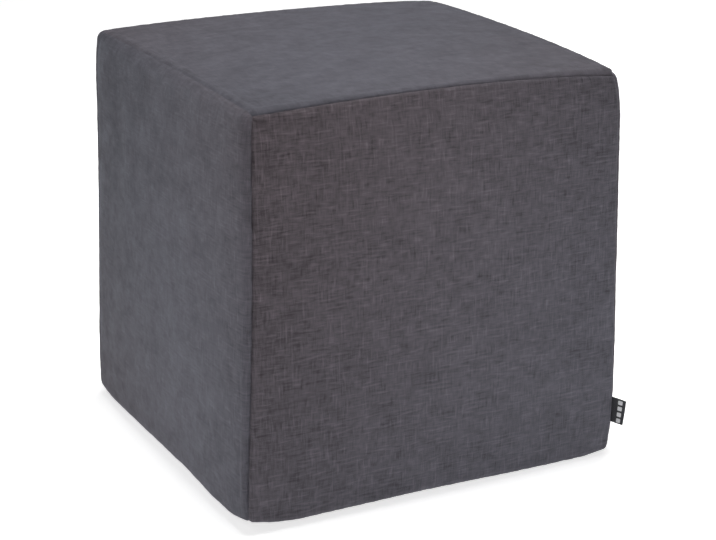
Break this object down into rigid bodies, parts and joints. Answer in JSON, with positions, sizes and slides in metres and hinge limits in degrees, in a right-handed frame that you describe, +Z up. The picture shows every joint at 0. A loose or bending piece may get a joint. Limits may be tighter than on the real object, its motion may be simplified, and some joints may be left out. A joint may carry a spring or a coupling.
{
  "type": "cube pouf stool",
  "caption": "Soft foam-filled cube seat with a plain sewn cloth cover and a folded tape label in one upright seam.",
  "frame": {"origin": "on the floor under the middle of the cube, the middle of the flat underside", "axes": "+Z up, -Y towards the front panel, +X towards the side whose front seam holds the label"},
  "size_m": [0.4618, 0.4586, 0.4498],
  "materials": {
    "cover_cloth": "matt charcoal plain weave with slubs and a faint sheen",
    "label_tape": "black woven tape with a small light grey woven mark"
  },
  "bodies": {
    "root": {"pouf_body": "cover_cloth", "side_label": "label_tape"}
  },
  "joints": []
}
